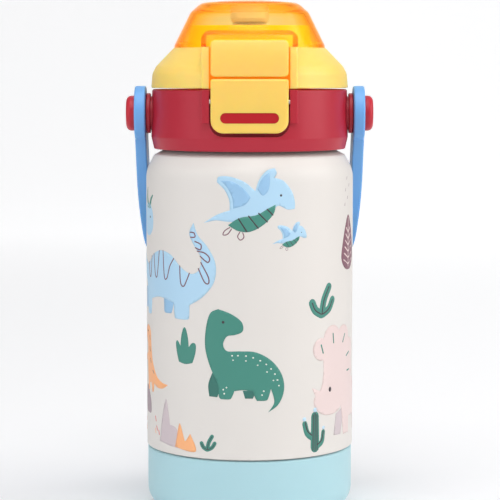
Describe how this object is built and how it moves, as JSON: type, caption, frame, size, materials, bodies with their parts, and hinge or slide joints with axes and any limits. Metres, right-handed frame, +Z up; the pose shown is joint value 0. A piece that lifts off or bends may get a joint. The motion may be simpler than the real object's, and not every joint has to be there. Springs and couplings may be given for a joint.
{
  "type": "kids water bottle",
  "caption": "Insulated drinking bottle with a screw-on straw lid, a hinged translucent cover with a push latch, a soft base boot and a swinging carry strap.",
  "frame": {"origin": "centre of the flat underside of the base boot", "axes": "+Z up along the bottle's axis, -Y towards the latch, +X to the viewer's right when facing the latch"},
  "size_m": [0.0904, 0.0903, 0.1872],
  "materials": {
    "cream_coat": "satin powder coat with printed motifs",
    "bare_steel": "brushed",
    "boot_silicone": "matte moulded silicone",
    "collar_red": "fine moulded texture",
    "core_white": "moulded",
    "soft_silicone": "soft translucent silicone",
    "straw_clear": "extruded, translucent",
    "cover_yellow": "satin moulded",
    "cover_amber": "clear tinted, polished",
    "plate_yellow": "satin moulded",
    "inset_red": "fine grain",
    "strap_blue": "satin moulded",
    "knob_red": "satin moulded"
  },
  "bodies": {
    "bottle": {"outer_shell": "cream_coat", "inner_liner": "bare_steel", "base_disc": "bare_steel", "vacuum_getter": "bare_steel", "base_boot": "boot_silicone"},
    "seal": {"lid_gasket": "soft_silicone"},
    "lid": {"lid_collar": "collar_red", "lid_core": "core_white", "mouthpiece": "soft_silicone", "straw": "straw_clear", "vent_valve": "soft_silicone", "hinge_pin": "bare_steel", "cover_spring": "bare_steel", "latch_pin": "bare_steel", "latch_spring": "bare_steel", "handle_knob_left": "knob_red", "handle_knob_right": "knob_red", "handle_washer_left": "collar_red", "handle_washer_right": "collar_red"},
    "cover": {"cover_ring": "cover_yellow", "cover_dome": "cover_amber", "catch_plate": "plate_yellow", "spout_plug": "soft_silicone"},
    "latch": {"latch_button": "plate_yellow", "latch_inset": "inset_red"},
    "handle": {"handle_strap": "strap_blue"}
  },
  "joints": [
    {"name": "lid_lift", "type": "slide", "parent": "bottle", "child": "seal", "axis": [0, 0, 1], "range_m": [0, 0.0072]},
    {"name": "lid_turn", "type": "hinge", "parent": "seal", "child": "lid", "pos_m": [0, 0, 0.15], "axis": [0, 0, 1], "range_deg": [0, 640]},
    {"name": "cover_hinge", "type": "hinge", "parent": "lid", "child": "cover", "pos_m": [0, 0.0392, 0.1546], "axis": [-1, 0, 0], "range_deg": [0, 150], "deforming": ["cover_spring"]},
    {"name": "latch_rock", "type": "hinge", "parent": "lid", "child": "latch", "pos_m": [0, -0.0329, 0.15015], "axis": [1, 0, 0], "range_deg": [0, 8], "stiffness_Nm_per_rad": 0.08, "springref_deg": -5.73, "deforming": ["latch_spring"]},
    {"name": "handle_swing", "type": "hinge", "parent": "lid", "child": "handle", "pos_m": [0, 0, 0.1455], "axis": [1, 0, 0], "range_deg": [0, 290.5]}
  ],
  "couplings": [
    {"joint": "lid_lift", "follows": "lid_turn", "m_per_rad": 0.00063662}
  ]
}
